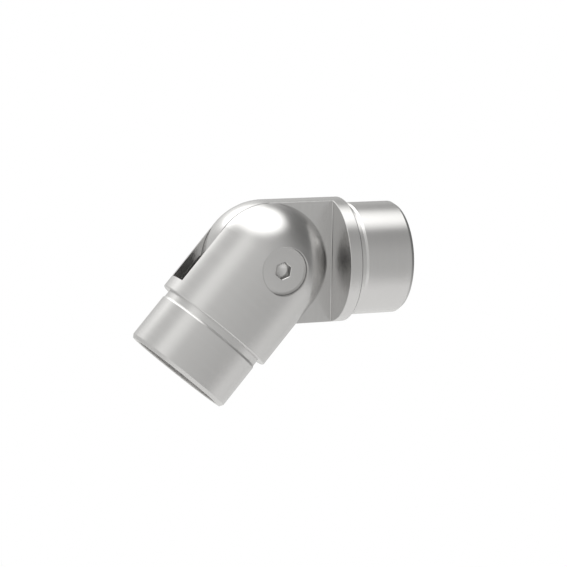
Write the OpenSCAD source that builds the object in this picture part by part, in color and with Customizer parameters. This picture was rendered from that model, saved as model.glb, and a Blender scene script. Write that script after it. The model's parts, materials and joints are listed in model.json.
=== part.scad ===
// Adjustable in-line elbow for round handrail tube.
// A forked half swings on a tongued half about one pivot, and each half ends in a spigot
// that is pushed into the end of a tube.
// Millimetres. +X runs along the tongued half's tube axis, away from the pivot, +Y along
// the pivot away from the screw's head, and +Z is up. The origin is on that tube axis,
// where the fitted wall of the tongued half's spigot begins.

/* [Tube] */
// Outside diameter of the tube, and of both halves
tube_od = 42.4; // [38:0.1:50]
// Wall of the tube
tube_wall = 2; // [1.5:0.1:2.6]
// Radial play between a spigot and the tube's bore
spigot_play = 0.05; // [0.05:0.05:0.3]

/* [Spigots] */
// Length of a spigot from the face that the tube's end meets
spigot_len = 19.8; // [15:0.1:40]
// Wall of a spigot
spigot_wall = 2.65; // [1.8:0.05:4]
// Width of the relief groove beside the tube's seat
relief_w = 3.05; // [1:0.05:4]
// Depth of the relief groove below the spigot's wall
relief_depth = 0.35; // [0.1:0.05:1]
// Length of the ramp from the groove's floor up to the spigot's wall
relief_ramp = 0.8; // [0.2:0.05:1]
// Length of the lead-in taper at a spigot's tip
lead_len = 1.15; // [0.3:0.05:2.5]
// How much the lead-in taper takes off the tip's radius
lead_drop = 0.75; // [0.2:0.05:1.5]
// Break on the inner edge of a spigot's mouth
mouth_break = 0.3; // [0.1:0.05:0.6]

/* [Knuckle] */
// Angle of the fork from straight, as it is set here
bend = 49.2; // [-90:0.1:90]
// Thickness of the tongue
tongue_t = 9.4; // [6:0.1:14]
// Play between the tongue and each cheek of the fork
cheek_play = 0.12; // [0.02:0.01:0.2]
// Gap round each rounded end as it swings
swing_gap = 1.6; // [0.8:0.1:4]
// Length of the full collar between the tongue's shoulder and the tube's seat
collar_len = 4.4; // [3.5:0.1:10]
// Wall of the hollow casting
cast_wall = 2.9; // [2:0.1:4]
// Metal left round the head recesses, towards the hollow
boss_wall = 2.6; // [1.5:0.1:5]
// Inner corner radius of the fork's hollow
cast_r = 2; // [0.5:0.1:3]
// Fillet between the tongue and its shoulder
root_r = 0.3; // [0.1:0.05:0.7]
// Break on the edge of each seat that a tube's end meets
edge_break = 0.3; // [0.1:0.05:0.5]
// Break on the rim of the tongue's shoulder
shoulder_break = 0.1; // [0.05:0.05:0.5]
// Break on the tongue's rims
tongue_break = 0.05; // [0.05:0.05:0.4]
// Break on the outer rims of the fork's slot
slot_break = 0.1; // [0.05:0.05:0.4]

/* [Pivot] */
// Outside diameter of the screw's thread
screw_d = 8; // [6:1:8]
// Outside diameter of the sleeve nut's barrel
barrel_d = 10; // [9:0.5:12]
// Diameter of both countersunk heads
head_d = 15.9; // [14:0.1:18]
// Height of the straight rim of a head
head_rim = 1.1; // [0.4:0.1:1.4]
// Distance of both head faces from the pivot's middle
head_face = 18.1; // [17:0.1:19]
// Length of the screw, head included
screw_len = 25; // [20:1:27]
// Break on the screw's tip
screw_break = 0.8; // [0.3:0.1:1.2]
// Length of the sleeve nut, head included
nut_len = 28; // [24:0.5:29]
// Break on the sleeve nut's tip
nut_break = 0.3; // [0.1:0.1:0.5]
// How far the nut's bore runs on past the screw's tip
nut_run_out = 1; // [0.5:0.1:1.5]
// Key size of both sockets, across flats
key_af = 5; // [4:0.5:6]
// Depth of both sockets, to the start of the drill point
key_depth = 3; // [2:0.1:4]
// How far the cone at a socket's mouth reaches past its corners
key_lip = 0.1; // [0.05:0.05:0.4]
// Angle that the screw's socket is turned by
key_turn = 20; // [0:1:59]
// Radial play of the barrel in the cheeks and the tongue
barrel_play = 0.05; // [0.02:0.01:0.1]
// Radial play of the screw in the sleeve nut
thread_play = 0.05; // [0.02:0.01:0.1]
// Radial play of a head's rim in its recess
head_play = 0.1; // [0.05:0.05:0.4]
// Play along the pivot between a head's cone and its seat
seat_play = 0.05; // [0.02:0.01:0.1]

/* [Hidden] */
$fn = 96;
steel = [0.72, 0.71, 0.69];
bright_steel = [0.78, 0.78, 0.77];
past = 1;
drill_slope = tan(30);
body_r = tube_od / 2;
spigot_r = body_r - tube_wall - spigot_play;
relief_r = spigot_r - relief_depth;
bore_r = spigot_r - spigot_wall;
shoulder = body_r + swing_gap;
seat = shoulder + collar_len;
tip = seat + spigot_len;
root = seat + relief_w;
slot_w = tongue_t + 2 * cheek_play;
hollow_r = body_r - cast_wall;
hollow_start = head_d / 2 + head_play + boss_wall;
neck_end = seat - edge_break - relief_depth;
neck_start = neck_end - (hollow_r - bore_r);
tongue_bore_start = shoulder + cast_wall;
hole_r = barrel_d / 2 + barrel_play;
head_r = head_d / 2;
recess_r = head_r + head_play;

// How far the outer round stands at a distance to the side of the middle plane
function rim_at(side) = sqrt(body_r * body_r - side * side);

module at_pivot() {
  translate([-root, 0, 0]) children();
}

// Turns a half that is drawn along +Z from the pivot to where it lies
module as_tongue() {
  at_pivot() rotate([0, 90, 0]) children();
}

module as_fork() {
  at_pivot() rotate([0, -90 - bend, 0]) children();
}

// Turns a round drawn along +Z so that +Z points along -Y
module to_screw_side() {
  rotate([90, 0, 0]) children();
}

// Outline of a half, as radius and distance from the pivot, from its first points to the tip
module half_outline(first_points) {
  polygon(concat(first_points, [
    [body_r, seat - edge_break],
    [body_r - edge_break, seat],
    [relief_r, seat],
    [relief_r, root - relief_ramp],
    [spigot_r, root],
    [spigot_r, tip - lead_len],
    [spigot_r - lead_drop, tip],
    [0, tip]
  ]));
}

// The bore of a spigot, from a start to past its mouth
module bore_outline(start) {
  translate([0, start]) square([bore_r, tip + past - start]);
  polygon([
    [0, tip - mouth_break],
    [bore_r, tip - mouth_break],
    [bore_r + mouth_break + past, tip + past],
    [0, tip + past]
  ]);
}

// The fork's wide hollow, with a rounded inner corner and a cone down to the bore
module hollow_outline() {
  square_top = hollow_start + cast_r;
  translate([0, hollow_start]) square([hollow_r - cast_r, cast_r + past]);
  intersection() {
    translate([hollow_r - cast_r, square_top]) circle(r = cast_r);
    translate([0, hollow_start]) square([hollow_r, cast_r]);
  }
  polygon([
    [0, square_top],
    [hollow_r, square_top],
    [hollow_r, neck_start],
    [bore_r, neck_end],
    [0, neck_end]
  ]);
}

// Flat-sided plate with one round end, whose rims are broken at 45 degrees
module broken_plate(w, length, cut) {
  rim = rim_at(w / 2) - cut;
  rotate([90, 0, 0]) rotate_extrude() {
    polygon([[0, -w / 2], [rim, -w / 2], [rim + w / 2, 0], [rim, w / 2], [0, w / 2]]);
  }
  linear_extrude(height = length) {
    polygon([
      [-rim, -w / 2],
      [rim, -w / 2],
      [rim + w / 2, 0],
      [rim, w / 2],
      [-rim, w / 2],
      [-rim - w / 2, 0]
    ]);
  }
}

// The gap between the cheeks, which widens at 45 degrees over their outer rims
module broken_slot(w, length, cut) {
  rim = rim_at(w / 2) - cut;
  wide = body_r + past - rim;
  rotate([-90, 0, 0]) rotate_extrude(angle = 180) {
    polygon([
      [0, -w / 2],
      [rim, -w / 2],
      [rim + wide, -w / 2 - wide],
      [rim + wide, w / 2 + wide],
      [rim, w / 2],
      [0, w / 2]
    ]);
  }
  linear_extrude(height = length) {
    polygon([
      [-rim, -w / 2],
      [rim, -w / 2],
      [rim + wide, -w / 2 - wide],
      [rim + wide, w / 2 + wide],
      [rim, w / 2],
      [-rim, w / 2],
      [-rim - wide, w / 2 + wide],
      [-rim - wide, -w / 2 - wide]
    ]);
  }
}

// Fillets between the tongue's flat sides and the shoulder
module root_fillets() {
  intersection() {
    for (side = [-1, 1]) {
      translate([-body_r, side * tongue_t / 2, shoulder]) {
        rotate([90, 0, 90]) linear_extrude(height = tube_od) difference() {
          translate([side > 0 ? 0 : -root_r, -root_r]) square(root_r);
          translate([side * root_r, -root_r]) circle(r = root_r);
        }
      }
    }
    cylinder(r = body_r - shoulder_break, h = shoulder + past);
  }
}

// Countersunk head and shank, drawn from the head's face towards -Z
module countersunk(face_r, shank_r, length, tip_break) {
  rotate_extrude() {
    polygon([
      [0, 0],
      [face_r, 0],
      [face_r, -head_rim],
      [shank_r, -head_rim - (face_r - shank_r)],
      [shank_r, -length + tip_break],
      [shank_r - tip_break, -length],
      [0, -length]
    ]);
  }
}

// Hexagon socket with a cone at its mouth and a drill point under it, sunk from the head's face
module key_socket() {
  drill_r = key_af / 2;
  corner_r = drill_r / cos(30);
  mouth_r = corner_r + key_lip;
  translate([0, 0, -mouth_r]) cylinder(r1 = 0, r2 = mouth_r + past, h = mouth_r + past);
  translate([0, 0, -key_depth]) cylinder(r = corner_r, h = key_depth + past, $fn = 6);
  translate([0, 0, -key_depth - drill_r * drill_slope]) {
    cylinder(r1 = 0, r2 = drill_r, h = drill_r * drill_slope);
  }
}

// Straight recess for a head's rim and the countersink that its cone bears on, drawn from the
// head's face towards -Z
module head_recess() {
  cone_top = head_play - seat_play - head_rim;
  cone_end = cone_top - (recess_r - hole_r);
  rotate_extrude() {
    polygon([
      [0, body_r],
      [recess_r, body_r],
      [recess_r, cone_top],
      [hole_r, cone_end],
      [0, cone_end]
    ]);
  }
}

// Pivot hole through both cheeks with a recess for a head at each end
module pivot_holes() {
  to_screw_side() cylinder(r = hole_r, h = tube_od, center = true);
  for (side = [0, 180]) {
    rotate([0, 0, side]) to_screw_side() translate([0, 0, head_face]) head_recess();
  }
}

module tongue_half() {
  color(steel) as_tongue() difference() {
    union() {
      intersection() {
        broken_plate(tongue_t, shoulder + past, tongue_break);
        union() {
          sphere(r = body_r);
          cylinder(r = body_r, h = shoulder + past);
        }
      }
      root_fillets();
      rotate_extrude() half_outline([
        [0, shoulder],
        [body_r - shoulder_break, shoulder],
        [body_r, shoulder + shoulder_break]
      ]);
    }
    rotate_extrude() bore_outline(tongue_bore_start);
    to_screw_side() cylinder(r = hole_r, h = tube_od, center = true);
  }
}

module fork_half() {
  color(steel) as_fork() difference() {
    union() {
      sphere(r = body_r);
      rotate_extrude() half_outline([[0, 0], [body_r, 0]]);
    }
    rotate_extrude() {
      hollow_outline();
      bore_outline(neck_end - past);
    }
    broken_slot(slot_w, shoulder, slot_break);
    pivot_holes();
  }
}

module pivot_screw() {
  color(bright_steel) at_pivot() to_screw_side() translate([0, 0, head_face]) difference() {
    countersunk(head_r, screw_d / 2, screw_len, screw_break);
    rotate([0, 0, key_turn]) key_socket();
  }
}

module sleeve_nut() {
  thread_r = screw_d / 2 + thread_play;
  thread_len = nut_len + screw_len - 2 * head_face + nut_run_out;
  color(bright_steel) as_fork() rotate([0, 0, 180]) to_screw_side() {
    difference() {
      translate([0, 0, head_face]) countersunk(head_r, barrel_d / 2, nut_len, nut_break);
      translate([0, 0, head_face]) key_socket();
      translate([0, 0, head_face - nut_len]) {
        translate([0, 0, -past]) cylinder(r = thread_r, h = thread_len + past);
        translate([0, 0, thread_len]) {
          cylinder(r1 = thread_r, r2 = 0, h = thread_r * drill_slope);
        }
      }
    }
  }
}

tongue_half();
fork_half();
pivot_screw();
sleeve_nut();
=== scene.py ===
# %% [markdown]
# # An adjustable handrail elbow in satin stainless steel
# Two steel castings swing on one pivot, and each ends in a spigot that goes into a handrail
# tube. The shapes are finished solids already, so this lesson is about the rest of the
# picture: a camera with a long lens, a studio that a curved mirror can reflect, and steel
# whose grain, edges and cast skin stand up to a close look.
#
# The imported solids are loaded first. Everything after this point is placed from them, in
# metres: +X along the right-hand tube, +Y along the pivot and +Z up.

# %% Load the solids
import json
import math

import bpy
import numpy as np
from mathutils import Matrix, Vector


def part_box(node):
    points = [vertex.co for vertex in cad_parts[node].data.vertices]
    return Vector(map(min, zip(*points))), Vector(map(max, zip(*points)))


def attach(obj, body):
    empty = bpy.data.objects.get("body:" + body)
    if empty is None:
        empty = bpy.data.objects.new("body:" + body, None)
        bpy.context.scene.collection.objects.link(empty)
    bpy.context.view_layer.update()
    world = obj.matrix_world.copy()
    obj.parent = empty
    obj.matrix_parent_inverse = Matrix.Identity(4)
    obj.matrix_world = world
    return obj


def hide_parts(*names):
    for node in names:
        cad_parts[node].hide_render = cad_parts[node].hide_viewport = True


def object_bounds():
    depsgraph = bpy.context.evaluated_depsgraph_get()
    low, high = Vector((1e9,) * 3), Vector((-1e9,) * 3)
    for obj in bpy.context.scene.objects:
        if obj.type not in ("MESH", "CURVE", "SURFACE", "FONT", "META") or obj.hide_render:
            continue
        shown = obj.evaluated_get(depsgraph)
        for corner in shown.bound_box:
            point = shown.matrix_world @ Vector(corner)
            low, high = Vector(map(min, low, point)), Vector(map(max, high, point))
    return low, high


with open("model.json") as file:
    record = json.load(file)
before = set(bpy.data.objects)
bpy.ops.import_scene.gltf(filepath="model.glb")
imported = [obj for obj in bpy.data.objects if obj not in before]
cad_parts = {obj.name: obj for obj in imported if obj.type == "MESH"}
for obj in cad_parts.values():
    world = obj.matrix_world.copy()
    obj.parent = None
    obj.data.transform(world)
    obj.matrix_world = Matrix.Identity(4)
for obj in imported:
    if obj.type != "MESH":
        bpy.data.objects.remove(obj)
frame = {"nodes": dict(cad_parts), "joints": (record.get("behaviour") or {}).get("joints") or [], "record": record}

MM = 0.001
cad_box = [list(corner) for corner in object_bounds()]
nodes = frame["nodes"]
print("solids:", sorted(nodes))
print("box in mm:", [[round(c / MM, 2) for c in corner] for corner in cad_box])

# %% [markdown]
# ## Where things are
# The record of the part says where its mounts and joints are. The pivot's middle comes from
# the joint that the elbow swings on, and the direction of each half's tube from its spigot,
# so no place is written down twice.

# %% Read the pivot and the two tube axes
joints = {j["name"]: j for j in frame["joints"]}
mounts = {m["name"]: m for m in frame["record"]["mounts"]}
pivot = Vector(joints["elbow_swing"]["pos_m"])
tube_axis = {
    "tongue_half": Vector(mounts["tongue_spigot"]["axis"]).normalized(),
    "fork_half": Vector(mounts["fork_spigot"]["axis"]).normalized(),
}
spigot_r = mounts["tongue_spigot"]["dims"]["r_mm"] * MM
body_r = (cad_box[1][1] - cad_box[0][1]) / 2
print("pivot in mm:", [round(c / MM, 2) for c in pivot])
print("radius of the body and of a spigot in mm:", round(body_r / MM, 2), round(spigot_r / MM, 2))

# %% [markdown]
# ## The camera
# The elbow is seen from the front and a little from the left and above, through a long lens,
# which keeps the two round ends close to true ellipses. A camera in Blender looks along its
# own -Z. Its rotation is built from three directions: right, up and back. The picture is
# square, and a 36 mm sensor makes the lens length a plain photographic one.

# %% Place the camera
CAMERA_PLACE = Vector((-258.92, -592.46, 104.73)) * MM
CAMERA_YAW = math.radians(21.71)
CAMERA_PITCH = math.radians(9.988)
CAMERA_ROLL = math.radians(0.896)
LENS_MM = 121.75
SENSOR_MM = 36
CLIP_START = 0.01
CLIP_END = 50


def camera_directions(yaw, pitch, roll):
    """Right, up and looking direction of a camera that is turned by yaw from +Y towards +X,
    tipped down by pitch and then rolled about its own line of sight."""
    looking = Vector((
        math.sin(yaw) * math.cos(pitch),
        math.cos(yaw) * math.cos(pitch),
        -math.sin(pitch),
    ))
    level = Vector((math.cos(yaw), -math.sin(yaw), 0))
    upright = level.cross(looking)
    right = math.cos(roll) * level + math.sin(roll) * upright
    up = math.cos(roll) * upright - math.sin(roll) * level
    return right, up, looking


def add_camera():
    """The scene's camera, with its rotation built from its three directions."""
    right, up, looking = camera_directions(CAMERA_YAW, CAMERA_PITCH, CAMERA_ROLL)
    data = bpy.data.cameras.new("camera")
    data.lens = LENS_MM
    data.sensor_width = SENSOR_MM
    data.clip_start = CLIP_START
    data.clip_end = CLIP_END
    camera = bpy.data.objects.new("camera", data)
    camera.matrix_world = Matrix((
        (right.x, up.x, -looking.x, CAMERA_PLACE.x),
        (right.y, up.y, -looking.y, CAMERA_PLACE.y),
        (right.z, up.z, -looking.z, CAMERA_PLACE.z),
        (0, 0, 0, 1),
    ))
    bpy.context.scene.collection.objects.link(camera)
    bpy.context.scene.camera = camera
    return camera


camera = add_camera()
bpy.context.scene.view_settings.view_transform = "Standard"
print("camera is", round((camera.location - pivot).length, 3), "m from the pivot")

# %% [markdown]
# ## Small helpers for node trees
# Each material below is a tree of nodes. A few helpers keep the trees short to read: each adds
# one kind of node, wires its inputs or sets their plain values, and gives back its output.

# %% Add nodes and wire them


def add_node(tree, kind, name, **values):
    """A node of that kind, labelled with a plain name, with its properties set."""
    node = tree.nodes.new(kind)
    node.name = node.label = name
    for key, value in values.items():
        setattr(node, key, value)
    return node


def feed(tree, socket, source):
    """Wires source into socket, or sets the socket where source is a plain value."""
    if isinstance(source, bpy.types.NodeSocket):
        tree.links.new(source, socket)
    else:
        socket.default_value = source


def math_node(tree, operation, name, *inputs):
    """The output of a Math node whose inputs are sockets or numbers."""
    node = add_node(tree, "ShaderNodeMath", name, operation=operation)
    for socket, source in zip(node.inputs, inputs):
        feed(tree, socket, source)
    return node.outputs[0]


def ramp_node(tree, name, value, low, high, out_low=0.0, out_high=1.0):
    """A smooth step: out_low where value is below low, out_high above high."""
    node = add_node(tree, "ShaderNodeMapRange", name, interpolation_type="SMOOTHSTEP")
    for socket, source in zip(node.inputs, (value, low, high, out_low, out_high)):
        feed(tree, socket, source)
    return node.outputs[0]


print("materials so far:", len(bpy.data.materials))

# %% Mix values, colours and shaders
# A Mix node has one pair of inputs for each kind of data
VALUE_PAIR, COLOUR_PAIR, COLOUR_RESULT = (2, 3), (6, 7), 2


def mix_values(tree, name, share, first, second):
    """first where share is 0 and second where it is 1."""
    node = add_node(tree, "ShaderNodeMix", name, data_type="FLOAT")
    feed(tree, node.inputs[0], share)
    for place, source in zip(VALUE_PAIR, (first, second)):
        feed(tree, node.inputs[place], source)
    return node.outputs[0]


def mix_colours(tree, name, share, first, second):
    """The same for colours, which are sockets or three numbers."""
    node = add_node(tree, "ShaderNodeMix", name, data_type="RGBA")
    feed(tree, node.inputs[0], share)
    for place, source in zip(COLOUR_PAIR, (first, second)):
        opaque = source if isinstance(source, bpy.types.NodeSocket) else (*source, 1)
        feed(tree, node.inputs[place], opaque)
    return node.outputs[COLOUR_RESULT]


def mix_shaders(tree, name, share, first, second):
    """The same for shaders."""
    node = add_node(tree, "ShaderNodeMixShader", name)
    for socket, source in zip(node.inputs, (share, first, second)):
        feed(tree, socket, source)
    return node.outputs[0]


def scale_colour(tree, name, colour, factor):
    """A colour whose three parts are multiplied by the same value."""
    node = add_node(tree, "ShaderNodeVectorMath", name, operation="SCALE")
    feed(tree, node.inputs[0], colour)
    feed(tree, node.inputs["Scale"], factor)
    return node.outputs[0]


print("a Mix node's inputs:", VALUE_PAIR, "for values and", COLOUR_PAIR, "for colours")

# %% [markdown]
# ## The studio
# Satin steel has hardly a look of its own: it shows what stands around it, a little blurred.
# So the studio is drawn before the metal. Two softboxes, one overhead and one low behind,
# make the white highlights on the dome and along the top of each spigot. The walls are grey
# cards, paler on the left and dark on the right, which draw the bands down the fork and the
# shade on its right side. A narrow darker gap between two cards, straight to the right, firms
# up the edge of the dome and of the spigot.
#
# The cards could be modelled as panels, but a world that fades from one grey to another does
# the same with no edges to hide. Each card is a patch of sky round one direction with a soft
# rim, laid over the ones before it. To the camera itself the whole sky is plain white.

# %% Directions in the studio


def compass(azimuth, elevation):
    """The direction at an azimuth from +Y towards +X and an elevation, both in degrees."""
    a, e = math.radians(azimuth), math.radians(elevation)
    return Vector((math.sin(a) * math.cos(e), math.cos(a) * math.cos(e), math.sin(e)))


print("azimuth 90 is along", [round(part, 2) for part in compass(90, 0)])

# %% The cards
# Each card: azimuth and elevation of its middle, its half width and the width of its soft
# rim, all in degrees, and its brightness, where 1 is white
WALL_LEVEL = 0.657
CARDS = {
    "floor_glow": (0, -90, 70, 23, 0.89),
    "front_right_wall": (135, 30, 44, 34, 0.52),
    "left_wall": (-97, 30, 24, 37, 1.025),
    "back_left_wall": (-68, 50, 17, 25, 0.62),
    "backdrop": (6, 50, 38, 15, 1.025),
    "softbox_behind": (-12, 48, 23, 3, 2.0),
    "dark_card": (79, 25, 38, 75, 0.19),
    "low_right_wall": (136, -12, 21, 41, 0.54),
    "dark_gap": (112, 6, 12, 22, 0.25),
    "softbox_top_behind": (-10, 77, 26, 19, 2.0),
    "softbox_overhead": (90, 90, 28, 16, 1.7),
}
# The trace of warmth in the cards' light
CARD_TINT = (1.005, 1, 0.985, 1)


def card_mask(tree, direction, name, azimuth, elevation, half_width, rim):
    """1 within half_width of a direction, fading to 0 over the rim, by the cosine between."""
    dot = add_node(tree, "ShaderNodeVectorMath", name + "_dot", operation="DOT_PRODUCT")
    tree.links.new(direction, dot.inputs[0])
    dot.inputs[1].default_value = compass(azimuth, elevation)
    outer = math.cos(math.radians(half_width + rim / 2))
    inner = math.cos(math.radians(half_width - rim / 2))
    return ramp_node(tree, name + "_edge", dot.outputs["Value"], outer, inner)


print("cards in the studio:", ", ".join(CARDS))

# %% Paint the surroundings


def paint_world():
    """The world: grey cards for everything that lights the steel, and white for the camera."""
    world = bpy.data.worlds.new("studio")
    bpy.context.scene.world = world
    world.use_nodes = True
    tree = world.node_tree
    tree.nodes.clear()
    direction = add_node(tree, "ShaderNodeTexCoord", "direction").outputs["Generated"]
    level = WALL_LEVEL
    for name, (azimuth, elevation, half_width, rim, brightness) in CARDS.items():
        mask = card_mask(tree, direction, name, azimuth, elevation, half_width, rim)
        level = mix_values(tree, name, mask, level, brightness)
    cards = add_node(tree, "ShaderNodeBackground", "cards")
    feed(tree, cards.inputs["Strength"], level)
    cards.inputs["Color"].default_value = CARD_TINT
    white = add_node(tree, "ShaderNodeBackground", "white_to_the_camera")
    white.inputs["Color"].default_value = (1, 1, 1, 1)
    path = add_node(tree, "ShaderNodeLightPath", "path")
    seen = math_node(
        tree, "MAXIMUM", "seen", path.outputs["Is Camera Ray"], path.outputs["Is Transmission Ray"]
    )
    sky = mix_shaders(tree, "sky", seen, cards.outputs[0], white.outputs[0])
    out = add_node(tree, "ShaderNodeOutputWorld", "out")
    tree.links.new(sky, out.inputs["Surface"])
    return world


world = paint_world()
print(world.name, "has", len(world.node_tree.nodes), "nodes")

# %% [markdown]
# ## The lamp
# One real lamp hangs in front of the overhead softbox, which firms up the shadow below. An
# area lamp's brightness is its power spread over its surface, and a round one sends the power
# through half a sphere. So the power is worked out from the brightness that the steel should
# reflect: power = brightness x pi x area.

# %% Hang the lamp
LAMP_LEVEL = 0.3
LAMP_DISTANCE = 1.0
LAMP_HALF_ANGLE = math.radians(24)


def hang_lamp(name, direction, distance, half_angle, level):
    """A round area lamp that faces the pivot from a direction and fills that half angle."""
    radius = distance * math.tan(half_angle)
    data = bpy.data.lights.new(name, "AREA")
    data.shape = "DISK"
    data.size = 2 * radius
    data.energy = level * math.pi * math.pi * radius * radius
    lamp = bpy.data.objects.new(name, data)
    lamp.location = pivot + direction * distance
    lamp.rotation_mode = "QUATERNION"
    lamp.rotation_quaternion = direction.to_track_quat("Z", "Y")
    bpy.context.scene.collection.objects.link(lamp)
    print(name, "radius", round(radius, 2), "m, power", round(data.energy, 1), "W")
    return lamp


hang_lamp("overhead_lamp", compass(0, 90), LAMP_DISTANCE, LAMP_HALF_ANGLE, LAMP_LEVEL)

# %% [markdown]
# ## The floor
# The elbow is held up by the tubes it joins, so the floor lies well below it. It is one flat
# round sheet. Close under the elbow it is pale paper that takes a soft shadow, and further out
# it turns to plain white for the camera. The steel sees the paper too, and through it the
# sky's own floor_glow, which is shaded on the side of the dark card as a real floor would be.

# %% A round sheet
FLOOR_DROP = 0.25
FLOOR_RADIUS = 0.6
FLOOR_SIDES = 128
floor_height = cad_box[0][2] - FLOOR_DROP


def disc_mesh(name, radius, height, sides):
    """A flat disc: points at radius times (cos t, sin t) for t in equal steps round, one face."""
    turn = np.arange(sides) * (2 * np.pi / sides)
    points = np.stack(
        [radius * np.cos(turn), radius * np.sin(turn), np.full(sides, height)], axis=1
    )
    mesh = bpy.data.meshes.new(name)
    mesh.from_pydata(points.tolist(), [], [list(range(sides))])
    return mesh


print("floor lies", round(-floor_height, 3), "m below the tube axis")

# %% The floor's paper
SHADOW_RADIUS = 0.30
FLOOR_WHITE_SHARE = 0.70
PAPER = (0.85, 0.85, 0.85, 1)


def floor_material():
    """Paper that is lit under the elbow, and further out white to the camera and clear to
    reflections."""
    material = bpy.data.materials.new("floor_paper")
    material.use_nodes = True
    tree = material.node_tree
    tree.nodes.clear()
    paper = add_node(tree, "ShaderNodeBsdfDiffuse", "paper")
    paper.inputs["Color"].default_value = PAPER
    white = add_node(tree, "ShaderNodeEmission", "white")
    place = add_node(tree, "ShaderNodeTexCoord", "place").outputs["Object"]
    centred = add_node(tree, "ShaderNodeVectorMath", "centred", operation="DISTANCE")
    feed(tree, centred.inputs[0], place)
    centred.inputs[1].default_value = (pivot.x, pivot.y, floor_height)
    share = ramp_node(
        tree, "white_share", centred.outputs["Value"],
        SHADOW_RADIUS, FLOOR_RADIUS, FLOOR_WHITE_SHARE, 1.0,
    )
    clear = add_node(tree, "ShaderNodeBsdfTransparent", "clear")
    path = add_node(tree, "ShaderNodeLightPath", "path")
    glossy = math_node(
        tree, "MAXIMUM", "glossy",
        path.outputs["Is Glossy Ray"], path.outputs["Is Transmission Ray"],
    )
    to_camera = mix_shaders(tree, "to_camera", glossy, white.outputs[0], clear.outputs[0])
    seen = math_node(tree, "MAXIMUM", "seen", path.outputs["Is Camera Ray"], glossy)
    share = math_node(tree, "MULTIPLY", "bare_share", seen, share)
    surface = mix_shaders(tree, "lit_or_bare", share, paper.outputs[0], to_camera)
    out = add_node(tree, "ShaderNodeOutputMaterial", "out")
    tree.links.new(surface, out.inputs["Surface"])
    return material


paper = floor_material()
print(paper.name, "takes shadows up to", SHADOW_RADIUS, "m from the elbow")

# %% Lay the floor
floor = bpy.data.objects.new(
    "floor", disc_mesh("floor", FLOOR_RADIUS, floor_height, FLOOR_SIDES)
)
bpy.context.scene.collection.objects.link(floor)
floor.data.materials.append(paper)
print("floor has", len(floor.data.vertices), "corners and is part of the stage")

# %% [markdown]
# ## A node group, in general
# Both castings and both pivot parts share three effects: grain, handling marks and worn edges.
# Inside, both castings also have cast skin. Each effect is a node group, built once and placed
# in every material that has it, with that material's own values. A group here gives out only
# masks, heights and normals, and the Principled shader stays in the material.

# %% Helper that starts a node group


def new_group(name, inputs, outputs):
    """An empty shader node group with named sockets, each as (name, kind). Gives the tree, its
    input sockets and its output node."""
    tree = bpy.data.node_groups.new(name, "ShaderNodeTree")
    for label, kind in inputs:
        tree.interface.new_socket(label, in_out="INPUT", socket_type=kind)
    for label, kind in outputs:
        tree.interface.new_socket(label, in_out="OUTPUT", socket_type=kind)
    entry = add_node(tree, "NodeGroupInput", "in")
    return tree, entry.outputs, add_node(tree, "NodeGroupOutput", "out")


def place_group(tree, group, name, **inputs):
    """The outputs of a group placed in a material's tree, with its inputs wired or set."""
    node = add_node(tree, "ShaderNodeGroup", name, node_tree=group)
    for label, source in inputs.items():
        feed(tree, node.inputs[label], source)
    return node.outputs


def noise_node(tree, name, vector, scale, detail=2.0, roughness=0.5):
    """The value of a Noise Texture, from 0 to 1."""
    node = add_node(tree, "ShaderNodeTexNoise", name)
    feed(tree, node.inputs["Vector"], vector)
    feed(tree, node.inputs["Scale"], scale)
    feed(tree, node.inputs["Detail"], detail)
    feed(tree, node.inputs["Roughness"], roughness)
    return node.outputs[0]


def stretch(tree, name, vector, factors):
    """A vector with each of its three parts multiplied by its own factor."""
    node = add_node(tree, "ShaderNodeVectorMath", name, operation="MULTIPLY")
    feed(tree, node.inputs[0], vector)
    node.inputs[1].default_value = factors
    return node.outputs[0]


print("node groups so far:", len(bpy.data.node_groups))

# %% [markdown]
# ## Grain
# Both halves are ground on a lathe with a fine abrasive belt, so the scratches run round the
# tube's axis. They are much closer together than they are long. A noise texture does that when
# its space is squeezed: many steps along the axis and few across it. The fine grooves are
# below what the picture can show and only break up a reflection when the camera comes close.
# The broad streaks are what is left to see from further off, and they are faint.

# %% The grain group
GROOVES_PER_M = 7000
STREAKS_PER_M = 700
GRAIN_STRETCH = (1, 0.012, 0.012)
STREAK_STRETCH = (1, 0.05, 0.05)
# How many finer layers a noise adds, and how much each counts next to the one before
STREAK_LAYERS = (3.0, 0.6)


def grain_group():
    """Grooves and Streaks, both from 0 to 1, that run round the X axis of the vector."""
    tree, given, out = new_group(
        "belt_grain",
        [("Vector", "NodeSocketVector")],
        [("Grooves", "NodeSocketFloat"), ("Streaks", "NodeSocketFloat")],
    )
    fine = stretch(tree, "long_grooves", given["Vector"], GRAIN_STRETCH)
    broad = stretch(tree, "long_streaks", given["Vector"], STREAK_STRETCH)
    grooves = noise_node(tree, "grooves", fine, GROOVES_PER_M)
    streaks = noise_node(tree, "streaks", broad, STREAKS_PER_M, *STREAK_LAYERS)
    feed(tree, out.inputs["Grooves"], grooves)
    feed(tree, out.inputs["Streaks"], streaks)
    return tree


belt_grain = grain_group()
print(belt_grain.name, "has", len(belt_grain.nodes), "nodes")

# %% [markdown]
# ## Handling marks
# No ground surface is quite even. Broad soft patches, a centimetre or so across, are slightly
# smoother where the belt lingered, and there are a few hairline scratches from the fitter's
# bench. The scratches are a second noise that is squeezed in a slanting direction, of which
# only the narrow peaks are kept.

# %% The handling group
PATCHES_PER_M = 70
PATCH_LAYERS = (3.0, 0.55)
SCRATCHES_PER_M = 900
SCRATCH_LAYERS = 1.0
SCRATCH_STRETCH = (0.04, 1, 0.9)
SCRATCH_SLANT = (0.4, 0.3, 0.9)
SCRATCH_PEAK = 0.73
SCRATCH_FULL = 0.80


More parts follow.
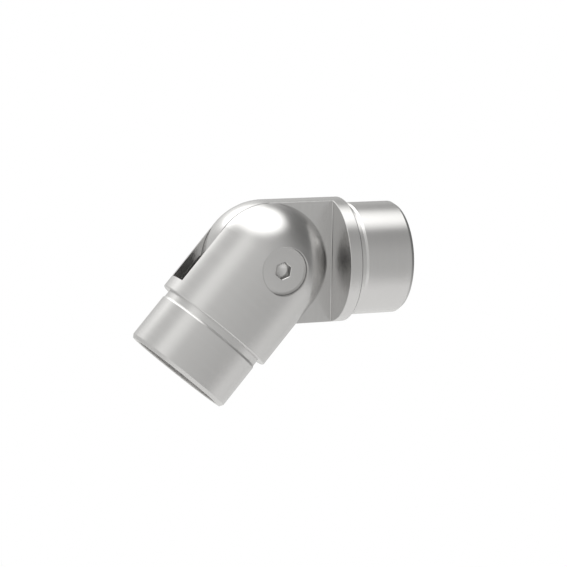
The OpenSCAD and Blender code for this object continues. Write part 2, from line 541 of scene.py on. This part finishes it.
def handling_group():
    """Patches from 0 to 1 and Scratches, a mask of thin lines."""
    tree, given, out = new_group(
        "handling_marks",
        [("Vector", "NodeSocketVector")],
        [("Patches", "NodeSocketFloat"), ("Scratches", "NodeSocketFloat")],
    )
    patches = noise_node(tree, "patches", given["Vector"], PATCHES_PER_M, *PATCH_LAYERS)
    slant = add_node(tree, "ShaderNodeMapping", "slant", vector_type="TEXTURE")
    feed(tree, slant.inputs["Vector"], given["Vector"])
    slant.inputs["Rotation"].default_value = SCRATCH_SLANT
    thin = stretch(tree, "thin", slant.outputs[0], SCRATCH_STRETCH)
    peaks = noise_node(tree, "peaks", thin, SCRATCHES_PER_M, SCRATCH_LAYERS)
    lines = ramp_node(tree, "lines", peaks, SCRATCH_PEAK, SCRATCH_FULL)
    feed(tree, out.inputs["Patches"], patches)
    feed(tree, out.inputs["Scratches"], lines)
    return tree


handling_marks = handling_group()
print(handling_marks.name, "has", len(handling_marks.nodes), "nodes")

# %% [markdown]
# ## Edges
# An edge that has been broken with a file and rubbed in use is rounder and brighter than the
# faces beside it. The Bevel node looks at the surfaces close round a point and gives the normal
# that a small rounding would have. Where that differs from the true normal, there is an edge.
# So one node gives both the light line along an edge and the mask for its wear.

# %% The edge group
EDGE_BEND_START = 0.01
EDGE_BEND_FULL = 0.12
BEVEL_SAMPLES = 6


def edge_group():
    """Edge, a mask that is 1 on edges, and Rounded, the normal with its edges rounded."""
    tree, given, out = new_group(
        "worn_edges",
        [("Radius", "NodeSocketFloat")],
        [("Edge", "NodeSocketFloat"), ("Rounded", "NodeSocketVector")],
    )
    bevel = add_node(tree, "ShaderNodeBevel", "rounding", samples=BEVEL_SAMPLES)
    feed(tree, bevel.inputs["Radius"], given["Radius"])
    surface = add_node(tree, "ShaderNodeNewGeometry", "surface")
    alike = add_node(tree, "ShaderNodeVectorMath", "alike", operation="DOT_PRODUCT")
    feed(tree, alike.inputs[0], bevel.outputs[0])
    feed(tree, alike.inputs[1], surface.outputs["Normal"])
    bend = math_node(tree, "SUBTRACT", "bend", 1.0, alike.outputs["Value"])
    edge = ramp_node(tree, "edge", bend, EDGE_BEND_START, EDGE_BEND_FULL)
    feed(tree, out.inputs["Edge"], edge)
    feed(tree, out.inputs["Rounded"], bevel.outputs[0])
    return tree


worn_edges = edge_group()
print(worn_edges.name, "has", len(worn_edges.nodes), "nodes")

# %% [markdown]
# ## Cast skin
# The belt and the cutter never reach the inside of a casting, so the hollow and the bore keep
# the dull, pebbled skin of the mould. A point is inside when it is nearer to the tube's axis
# than the hollow's wall and lies between the hollow's two ends. The mask is worked out from
# exactly those three distances, so it needs no painting.

# %% The cast skin group
SKIN_BLUR = 0.05 * MM
PEBBLES_PER_M = 1400
PEBBLE_LAYERS = 3.0


def skin_group():
    """Inside, a mask of the hollow round the X axis between Start and End and within Reach,
    and Pebbles, the height of the mould's grain."""
    tree, given, out = new_group(
        "cast_skin",
        [
            ("Vector", "NodeSocketVector"),
            ("Reach", "NodeSocketFloat"),
            ("Start", "NodeSocketFloat"),
            ("End", "NodeSocketFloat"),
        ],
        [("Inside", "NodeSocketFloat"), ("Pebbles", "NodeSocketFloat")],
    )
    along = add_node(tree, "ShaderNodeSeparateXYZ", "along")
    feed(tree, along.inputs[0], given["Vector"])
    flat = stretch(tree, "across", given["Vector"], (0, 1, 1))
    off_axis = add_node(tree, "ShaderNodeVectorMath", "off_axis", operation="LENGTH")
    feed(tree, off_axis.inputs[0], flat)

    def step_up(name, value, edge):
        """0 below an edge and 1 above it, over the width of SKIN_BLUR."""
        margin = math_node(tree, "SUBTRACT", name + "_margin", value, edge)
        return ramp_node(tree, name, margin, 0.0, SKIN_BLUR)

    near = step_up("near", given["Reach"], off_axis.outputs["Value"])
    deep = step_up("deep", along.outputs["X"], given["Start"])
    short = step_up("short", given["End"], along.outputs["X"])
    both = math_node(tree, "MULTIPLY", "near_and_deep", near, deep)
    feed(tree, out.inputs["Inside"], math_node(tree, "MULTIPLY", "inside", both, short))
    pebbles = noise_node(tree, "pebbles", given["Vector"], PEBBLES_PER_M, PEBBLE_LAYERS)
    feed(tree, out.inputs["Pebbles"], pebbles)
    return tree


cast_skin = skin_group()
print(cast_skin.name, "has", len(cast_skin.nodes), "nodes")

# %% [markdown]
# ## Painted shade in the seams
# On the tongued half two dark lines of painted shade are put into the colour: one along both
# rims of its round end, for the shade in the narrow gap to the cheeks, and a fainter one on
# the broken edge of its collar, for the dark foot of the groove beside it. A drawn line would need a
# picture laid over the casting. Two plain conditions on the distance from the pivot, from the
# tube's axis and from the middle plane say the same, and stay sharp at any size.

# %% The line of painted shade on the collar's edge
SEAM_BLUR = 0.05 * MM
COLLAR_SEAT = (Vector(mounts["tongue_seat"]["pos_m"]) - pivot).dot(tube_axis["tongue_half"])
COLLAR_BREAK = 0.3 * MM
COLLAR_LINE_SHARE = 0.65


def collar_shade_mask(tree, place, seat, edge_break):
    """1 on the broken edge of the collar, where a line of shade is painted: within edge_break
    before the seat along the tube, and no deeper than twice that below the collar."""
    parts = add_node(tree, "ShaderNodeSeparateXYZ", "collar_parts")
    feed(tree, parts.inputs[0], place)
    off_tube = add_node(tree, "ShaderNodeVectorMath", "collar_off_tube", operation="LENGTH")
    feed(tree, off_tube.inputs[0], stretch(tree, "collar_across", place, (0, 1, 1)))
    start = seat - edge_break - SEAM_BLUR
    after = ramp_node(tree, "after", parts.outputs["X"], start - SEAM_BLUR, start)
    before = ramp_node(
        tree, "before", parts.outputs["X"], seat - SEAM_BLUR, seat - SEAM_BLUR / 4, 1.0, 0.0
    )
    depth = body_r - 2 * edge_break
    high = ramp_node(tree, "high", off_tube.outputs["Value"], depth, depth + SEAM_BLUR)
    band = math_node(tree, "MULTIPLY", "after_and_before", after, before)
    return math_node(tree, "MULTIPLY", "collar_edge", band, high)


print("the collar's seat is", round(COLLAR_SEAT / MM, 2), "mm from the pivot")

# %% The lines of painted shade along the round end
SEAM_WIDTH = 0.17 * MM


def rim_shade_mask(tree, place, half_width, rim_radius):
    """1 on the outer band of a round end, where shade is painted for the gaps to the cheeks: less
    than SEAM_WIDTH from either side face, further from the pivot's axis than the rim, and on the
    side away from the tube."""
    parts = add_node(tree, "ShaderNodeSeparateXYZ", "seam_parts")
    feed(tree, parts.inputs[0], place)
    off_axis = add_node(tree, "ShaderNodeVectorMath", "seam_off_axis", operation="LENGTH")
    feed(tree, off_axis.inputs[0], stretch(tree, "seam_across", place, (1, 0, 1)))
    aside = math_node(tree, "ABSOLUTE", "aside", parts.outputs["Y"])
    edge = half_width - SEAM_WIDTH
    beside = ramp_node(tree, "beside", aside, edge, edge + SEAM_BLUR)
    outside = ramp_node(
        tree, "outside", off_axis.outputs["Value"], rim_radius - SEAM_WIDTH, rim_radius - SEAM_BLUR
    )
    behind = ramp_node(tree, "behind", parts.outputs["X"], -SEAM_WIDTH, 0.0, 1.0, 0.0)
    band = math_node(tree, "MULTIPLY", "beside_and_outside", beside, outside)
    return math_node(tree, "MULTIPLY", "seam", band, behind)


def painted_seam_shade_mask(tree, place, half_width, rim_radius):
    """Where shade is painted: 1 on the seam and COLLAR_LINE_SHARE on the collar's edge."""
    seam = rim_shade_mask(tree, place, half_width, rim_radius)
    collar = collar_shade_mask(tree, place, COLLAR_SEAT, COLLAR_BREAK)
    collar = math_node(tree, "MULTIPLY", "faint_line", collar, COLLAR_LINE_SHARE)
    return math_node(tree, "MAXIMUM", "both_lines", seam, collar)


print("a line in the seam is", round(SEAM_WIDTH / MM, 2), "mm wide")

# %% [markdown]
# ## Satin ground stainless steel
# The material of both castings, and with other values of both pivot parts. It takes the
# coordinates that the grain runs round as an input. For a casting, a Mapping node sets the
# object's coordinates to the half's own: zero at the pivot, X along the tube.
#
# The steel reflects two thirds of the light and is almost neutral, because a tint would grow
# with every bounce between the two halves; the trace of warmth is in the studio's cards. Its
# roughness of 0.25 blurs the softboxes' rims as much as fine belt grinding does. Grain,
# patches, scratches and edges each move the colour or the roughness by a few hundredths. The
# height of the grooves is a fraction of a micron, and of the mould's pebbles some hundredths of
# a millimetre.

# %% The finishes
# Each finish: colour of the faces and of the worn edges, roughness, and the radius in metres
# that its edges look rounded by, in general and on the rims of the fork's two recesses
STEEL_COLOUR = (0.684, 0.68, 0.675)
BURNISHED_COLOUR = (0.72, 0.715, 0.71)
FINISHES = {
    "tongue_half": (STEEL_COLOUR, BURNISHED_COLOUR, 0.25, 0.07 * MM, 0.07 * MM),
    "fork_half": (STEEL_COLOUR, BURNISHED_COLOUR, 0.25, 0.04 * MM, 0.32 * MM),
    "turned": (STEEL_COLOUR, BURNISHED_COLOUR, 0.24, 0.05 * MM, 0.05 * MM),
    # The socket walls: duller from the punch, and darker as painted shade in the recess
    "socket_shade": ((0.54, 0.535, 0.53), (0.60, 0.595, 0.59), 0.35, 0.05 * MM, 0.05 * MM),
}
print("finishes:", ", ".join(FINISHES))

# %% Coordinates and radii from the pivot
# Distances from the pivot's axis over which recess_radius gives way to edge_radius
RECESS_REACH = (8.5 * MM, 9.5 * MM)


def from_pivot(tree, turn_about_y=0.0):
    """Object coordinates with zero at the pivot and X turned by an angle about Y."""
    place = add_node(tree, "ShaderNodeTexCoord", "place").outputs["Object"]
    mapping = add_node(tree, "ShaderNodeMapping", "from_pivot", vector_type="TEXTURE")
    feed(tree, mapping.inputs["Vector"], place)
    mapping.inputs["Location"].default_value = pivot
    mapping.inputs["Rotation"].default_value = (0, turn_about_y, 0)
    return mapping.outputs[0]


def rounding_radius(tree, recess_radius, edge_radius):
    """The radius that edges look rounded by: recess_radius round the pivot and edge_radius
    further out."""
    off_pivot = add_node(tree, "ShaderNodeVectorMath", "off_pivot", operation="LENGTH")
    across = stretch(tree, "off_pivot_axis", from_pivot(tree), (1, 0, 1))
    feed(tree, off_pivot.inputs[0], across)
    return ramp_node(
        tree, "edge_radius", off_pivot.outputs["Value"],
        *RECESS_REACH, recess_radius, edge_radius,
    )


print("recess rims lie within", round(RECESS_REACH[0] / MM, 1), "mm of the pivot's axis")

# %% How the effects move the colour and the roughness
# The full range that each effect covers, of the colour as a share of it
STREAK_TONE, PATCH_TONE, SCRATCH_TONE = 0.05, 0.03, 0.03
STREAK_ROUGHNESS, PATCH_ROUGHNESS, EDGE_ROUGHNESS = 0.05, 0.03, 0.04


def toned_colour(tree, grain, marks, edge, face_colour, edge_colour):
    """The colour of the faces, or of the edges where edge is 1, times 1 plus what the streaks,
    the patches and the scratches add to its tone."""
    tone = math_node(
        tree, "MULTIPLY_ADD", "streak_tone", grain["Streaks"], STREAK_TONE, 1 - STREAK_TONE / 2
    )
    tone = math_node(
        tree, "MULTIPLY_ADD", "scratch_tone", marks["Scratches"], SCRATCH_TONE, tone
    )
    shade = math_node(
        tree, "MULTIPLY_ADD", "patch_tone", marks["Patches"], PATCH_TONE, -PATCH_TONE / 2
    )
    tone = math_node(tree, "ADD", "tone", tone, shade)
    colour = mix_colours(tree, "worn", edge, face_colour, edge_colour)
    return scale_colour(tree, "toned", colour, tone)


def moved_roughness(tree, grain, marks, edge, roughness):
    """The roughness plus what the streaks add and less what the patches and the edges take."""
    rough = math_node(
        tree, "MULTIPLY_ADD", "streak_rough",
        grain["Streaks"], STREAK_ROUGHNESS, roughness - STREAK_ROUGHNESS / 2,
    )
    rough = math_node(
        tree, "MULTIPLY_ADD", "patch_rough", marks["Patches"], -PATCH_ROUGHNESS, rough
    )
    rough = math_node(tree, "ADD", "patch_mean", rough, PATCH_ROUGHNESS / 2)
    return math_node(tree, "MULTIPLY_ADD", "edge_rough", edge, -EDGE_ROUGHNESS, rough)


print("streaks move the colour by up to", round(50 * STREAK_TONE, 1), "percent either way")

# %% The steel
GROOVE_DEPTH = 0.0004 * MM
PEBBLE_DEPTH = 0.05 * MM
SKIN_COLOUR = (0.58, 0.573, 0.565)
SKIN_ROUGHNESS = 0.4
# The dark colour and roughness of the painted shade in the seams
SEAM_SHADE_COLOUR = (0.2, 0.198, 0.195)
SEAM_SHADE_ROUGHNESS = 0.5


def bump_node(tree, name, distance, height, normal):
    """A Bump node laid over another normal."""
    bump = add_node(tree, "ShaderNodeBump", name)
    bump.inputs["Distance"].default_value = distance
    feed(tree, bump.inputs["Height"], height)
    feed(tree, bump.inputs["Normal"], normal)
    return bump


def steel_material(name, coordinates, finish, hollow=None, seam=None):
    """Ground steel whose grain runs round the X axis of the coordinates that the given function
    adds. A hollow, as (reach, start, end) in metres, gets the cast skin, and a seam, as (half
    width, rim radius), its dark line of painted shade."""
    face_colour, edge_colour, roughness, edge_radius, recess_radius = FINISHES[finish]
    material = bpy.data.materials.new(name)
    material.use_nodes = True
    tree = material.node_tree
    here = coordinates(tree)
    grain = place_group(tree, belt_grain, "grain", Vector=here)
    marks = place_group(tree, handling_marks, "marks", Vector=here)
    radius = rounding_radius(tree, recess_radius, edge_radius)
    edges = place_group(tree, worn_edges, "edges", Radius=radius)
    colour = toned_colour(tree, grain, marks, edges["Edge"], face_colour, edge_colour)
    rough = moved_roughness(tree, grain, marks, edges["Edge"], roughness)
    normal = bump_node(
        tree, "groove_bump", GROOVE_DEPTH, grain["Grooves"], edges["Rounded"]
    ).outputs[0]

    if hollow:
        reach, start, end = hollow
        skin = place_group(tree, cast_skin, "skin", Vector=here, Reach=reach, Start=start, End=end)
        colour = mix_colours(tree, "skinned", skin["Inside"], colour, SKIN_COLOUR)
        rough = mix_values(tree, "skin_rough", skin["Inside"], rough, SKIN_ROUGHNESS)
        pebbles = bump_node(tree, "pebble_bump", PEBBLE_DEPTH, skin["Pebbles"], normal)
        feed(tree, pebbles.inputs["Strength"], skin["Inside"])
        normal = pebbles.outputs[0]

    # Painted shade: the seam lines darken the colour
    if seam:
        seam_shaded = painted_seam_shade_mask(tree, here, *seam)
        colour = mix_colours(tree, "seam_shaded", seam_shaded, colour, SEAM_SHADE_COLOUR)
        rough = mix_values(tree, "seam_shade_rough", seam_shaded, rough, SEAM_SHADE_ROUGHNESS)

    shader = tree.nodes["Principled BSDF"]
    shader.inputs["Metallic"].default_value = 1
    feed(tree, shader.inputs["Base Color"], colour)
    feed(tree, shader.inputs["Roughness"], rough)
    feed(tree, shader.inputs["Normal"], normal)
    return material


print("grooves are up to", round(GROOVE_DEPTH / MM * 1000, 2), "microns deep")

# %% Dress the two castings
# Each hollow in metres: its wall's distance from the tube's axis, and where it starts and ends
# along that axis from the pivot
HOLLOW = {
    "tongue_half": (16.9 * MM, 25.6 * MM, 46.98 * MM),
    "fork_half": (18.4 * MM, 10.6 * MM, 46.98 * MM),
}
# Half the tongue's thickness and the radius of the rim of its round end, along which shade is painted in the seam
SEAM = {"tongue_half": (4.7 * MM, 20.6 * MM)}


def dress(piece, material):
    """Gives a piece that material and no other."""
    piece.data.materials.clear()
    piece.data.materials.append(material)


for name, hollow in HOLLOW.items():
    axis = tube_axis[name]
    turn = math.atan2(-axis.z, axis.x)
    dress(nodes[name], steel_material(
        "satin_" + name, lambda tree: from_pivot(tree, turn), name, hollow, SEAM.get(name),
    ))
    print(name, "has its grain turned by", round(math.degrees(turn), 1), "degrees")

# %% [markdown]
# ## Turned steel
# The screw and the sleeve nut come off a lathe, whose tool leaves fine rings round the pivot's
# axis. On a flat face the rings differ by their distance from the axis, and on a shaft by their
# depth along it. The sum of the two changes across every ring wherever it is, so it takes the
# place of X in the grain's coordinates. The walls of both key sockets are not turned but torn
# by a punch, which leaves them duller. Their darker colour is painted shade deep in the socket,
# so they get a finish of their own.

# %% Turned steel, and socket steel with painted shade


def turned_coordinates(tree):
    """(distance from the pivot's axis + depth along it, X, Z), zero at the pivot."""
    place = from_pivot(tree)
    parts = add_node(tree, "ShaderNodeSeparateXYZ", "parts")
    feed(tree, parts.inputs[0], place)
    off_axis = add_node(tree, "ShaderNodeVectorMath", "off_turning_axis", operation="LENGTH")
    feed(tree, off_axis.inputs[0], stretch(tree, "across_turning_axis", place, (1, 0, 1)))
    rings = math_node(tree, "ADD", "rings", off_axis.outputs["Value"], parts.outputs["Y"])
    turned = add_node(tree, "ShaderNodeCombineXYZ", "turned")
    for label, source in (("X", rings), ("Y", parts.outputs["X"]), ("Z", parts.outputs["Z"])):
        feed(tree, turned.inputs[label], source)
    return turned.outputs[0]


turned_steel = steel_material("turned_steel", turned_coordinates, "turned")
# The socket walls' darker colour is painted shade deep in the recess
shaded_socket_steel = steel_material("shaded_socket_steel", turned_coordinates, "socket_shade")
print("turned steel has", len(turned_steel.node_tree.nodes), "nodes")

# %% [markdown]
# ## The pivot: a socket screw in a sleeve nut
# The pivot is an M8 countersunk socket screw in a sleeve nut with the same head. The socket is
# pressed in with a hexagonal punch over a drilled hole, so its floor is a narrow ring round
# the cone that the drill left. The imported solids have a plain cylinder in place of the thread.
# Here both are made again, with the screw's thread, rounded rims and crisp sockets, and stand in
# for those solids.
#
# Blender's Screw modifier could wind the thread, but the thread would still have to be joined
# to the head and the tip. It is simpler to see each piece as one lathe profile, from the middle
# of the socket round to the other end of the axis, in which the radius may depend on the angle.
# In the socket it follows a hexagon. Along the shaft it follows a ridge that moves on by one
# pitch in each turn. The nut's bore stays plain, because the pose files turn the screw without
# moving it along, and two threads would cut into each other.

# %% Sizes of the pivot in metres, the outer ones read from the solids
screw_low, screw_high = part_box("pivot_screw")
nut_low, nut_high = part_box("sleeve_nut")
HEAD_RADIUS = (screw_high[0] - screw_low[0]) / 2
HEAD_FACE = pivot.y - screw_low[1]
SCREW_LENGTH = screw_high[1] - screw_low[1]
NUT_LENGTH = nut_high[1] - nut_low[1]
HEAD_RIM = 1.1 * MM
RIM_ROUND = 0.06 * MM
SHAFT_RADIUS = 4 * MM
TIP_BREAK = 0.8 * MM
PITCH = 1.25 * MM
RIDGE_HEIGHT = 0.767 * MM
THREAD_START = 6.5 * MM
BARREL_RADIUS = 5 * MM
BARREL_BREAK = 0.3 * MM
BORE_RADIUS = 4.05 * MM
BORE_LENGTH = 17.8 * MM
KEY_HALF = 2.5 * MM
KEY_DEPTH = 3 * MM
KEY_BREAK = 0.18 * MM
DRILL_RADIUS = 2.3 * MM
print("screw is", round(SCREW_LENGTH / MM, 2), "mm long, nut", round(NUT_LENGTH / MM, 2))

# %% The socket, the head and the thread as radii and depths
ROUND_STEPS = 6
FLANK_LEAN = math.radians(30)


def hexagon_radius(turn, corner):
    """Half the key's width over the cosine of the angle to the nearest side's middle."""
    return KEY_HALF / np.cos((turn - corner) % (np.pi / 3) - np.pi / 6)


def thread_radius(depth, turn):
    """A ridge that moves on by one pitch a turn. Its crest is pitch / 8 wide and its sides lean
    by FLANK_LEAN. It grows to its full height over the first turn, and the tip cuts it back at
    45 degrees."""
    off_crest = PITCH * np.abs((depth / PITCH - turn / (2 * np.pi)) % 1 - 0.5)
    valley = np.clip((off_crest - PITCH / 16) / math.tan(FLANK_LEAN), 0, RIDGE_HEIGHT)
    ridge = SHAFT_RADIUS - valley * np.clip((depth - THREAD_START) / PITCH, 0, 1)
    return np.minimum(ridge, SHAFT_RADIUS - TIP_BREAK + SCREW_LENGTH - depth)


def head_rings(turn, corner, shank_radius):
    """Radius and depth of the rings of a head: rim of the drill's cone, socket floor, the wall
    from ring 1 to ring 2, its break, the rounded rim, the rim and the end of the cone."""
    key = hexagon_radius(turn, corner)
    rings = [
        (DRILL_RADIUS, KEY_DEPTH),
        (key, KEY_DEPTH),
        (key, KEY_BREAK),
        (key + KEY_BREAK, 0),
    ]
    for t in np.linspace(0, np.pi / 2, ROUND_STEPS):
        inset, drop = RIM_ROUND * (1 - math.sin(t)), RIM_ROUND * (1 - math.cos(t))
        rings.append((HEAD_RADIUS - inset, drop))
    rings.append((HEAD_RADIUS, HEAD_RIM))
    rings.append((shank_radius, HEAD_RIM + HEAD_RADIUS - shank_radius))
    radius, depth = (np.array([part + 0 * turn for part in column]) for column in zip(*rings))
    return radius, depth


print("the key's corners lie", round(hexagon_radius(0, 0) / MM, 2), "mm from the axis")

# %% A closed skin over rings
SHARP_ANGLE = math.radians(25)
# The ring at which the socket's wall starts, and the place of each steel among the materials
SOCKET_WALL = 1
TURNED, SOCKET_SHADED = 0, 1


def closed_rings(name, radius, depth, turn, face, second, along, start, end):
    """A closed skin over rings: face + radius (X cos turn + second sin turn) + depth along, with
    a fan of triangles from the axis at the depths start and end. The faces between the socket's
    two rings get the socket steel, whose darker colour is painted shade."""
    along, second = np.array(along), np.array(second)
    side = np.cos(turn)[:, None] * np.array([1, 0, 0]) + np.sin(turn)[:, None] * second
    points = face + radius[..., None] * side + depth[..., None] * along
    rings, sides = radius.shape
    points = np.vstack([points.reshape(-1, 3), face + start * along, face + end * along])
    here = np.arange(rings * sides).reshape(rings, sides)
    beside = np.roll(here, -1, axis=1)
    quads = np.stack([here[:-1], beside[:-1], beside[1:], here[1:]], axis=-1).reshape(-1, 4)
    poles = np.full(sides, rings * sides)
    fans = np.vstack([
        np.stack([poles, beside[0], here[0]], axis=-1),
        np.stack([here[-1], beside[-1], poles + 1], axis=-1),
    ])
    mesh = bpy.data.meshes.new(name)
    mesh.from_pydata(points.tolist(), [], quads.tolist() + fans.tolist())
    mesh.shade_smooth()
    mesh.set_sharp_from_angle(angle=SHARP_ANGLE)
    mesh.materials.append(turned_steel)
    mesh.materials.append(shaded_socket_steel)
    finish = np.full(len(mesh.polygons), TURNED, dtype=np.int32)
    finish[SOCKET_WALL * sides:(SOCKET_WALL + 1) * sides] = SOCKET_SHADED
    mesh.polygons.foreach_set("material_index", finish)
    piece = bpy.data.objects.new(name, mesh)
    bpy.context.scene.collection.objects.link(piece)
    return piece


print("edges bent by over", round(math.degrees(SHARP_ANGLE)), "degrees stay sharp")

# %% The screw
SIDES = 144
RINGS_PER_PITCH = 16
SOCKET_TURN = math.radians(-20)
DRILL_LEAN = math.radians(30)
MIDDLE_DEPTH = KEY_DEPTH + DRILL_RADIUS * math.tan(DRILL_LEAN)


def make_screw():
    """The screw, with its head's face where the solid's is and its shaft along +Y."""
    turn = SOCKET_TURN + np.arange(SIDES) * (2 * np.pi / SIDES)
    radius, depth = head_rings(turn, SOCKET_TURN, SHAFT_RADIUS)
    count = round((SCREW_LENGTH - depth[-1, 0]) / PITCH * RINGS_PER_PITCH) + 1
    shaft = np.linspace(depth[-1], SCREW_LENGTH, count)[1:]
    radius = np.vstack([radius, thread_radius(shaft, turn)])
    face = np.array([pivot.x, pivot.y - HEAD_FACE, pivot.z])
    return closed_rings(
        "socket_screw", radius, np.vstack([depth, shaft]), turn, face,
        (0, 0, -1), (0, 1, 0), MIDDLE_DEPTH, SCREW_LENGTH,
    )


screw = make_screw()
print(screw.name, "has", len(screw.data.polygons), "faces")

# %% The sleeve nut


def make_nut():
    """The sleeve nut, with its head on the far side, its barrel along -Y and a plain bore."""
    across_fork = tube_axis["fork_half"].cross(Vector((0, 1, 0)))
    corner = math.atan2(across_fork.z, across_fork.x)
    turn = corner + np.arange(SIDES) * (2 * np.pi / SIDES)
    radius, depth = head_rings(turn, corner, BARREL_RADIUS)
    tail = [
        (BARREL_RADIUS, NUT_LENGTH - BARREL_BREAK),
        (BARREL_RADIUS - BARREL_BREAK, NUT_LENGTH),
        (BORE_RADIUS, NUT_LENGTH),
        (BORE_RADIUS, NUT_LENGTH - BORE_LENGTH),
    ]
    tail_radius, tail_depth = (np.outer(column, np.ones(SIDES)) for column in zip(*tail))
    face = np.array([pivot.x, pivot.y + HEAD_FACE, pivot.z])
    bore_end = NUT_LENGTH - BORE_LENGTH - BORE_RADIUS * math.tan(DRILL_LEAN)
    return closed_rings(
        "socket_nut", np.vstack([radius, tail_radius]), np.vstack([depth, tail_depth]), turn, face,
        (0, 0, 1), (0, -1, 0), MIDDLE_DEPTH, bore_end,
    )


nut = make_nut()
print(nut.name, "has", len(nut.data.polygons), "faces")

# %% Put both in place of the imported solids
for piece, body, node in ((screw, "screw", "pivot_screw"), (nut, "fork", "sleeve_nut")):
    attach(piece, body)
    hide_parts(node)
    print(piece.name, "stands in for", node, "and rides on", body)
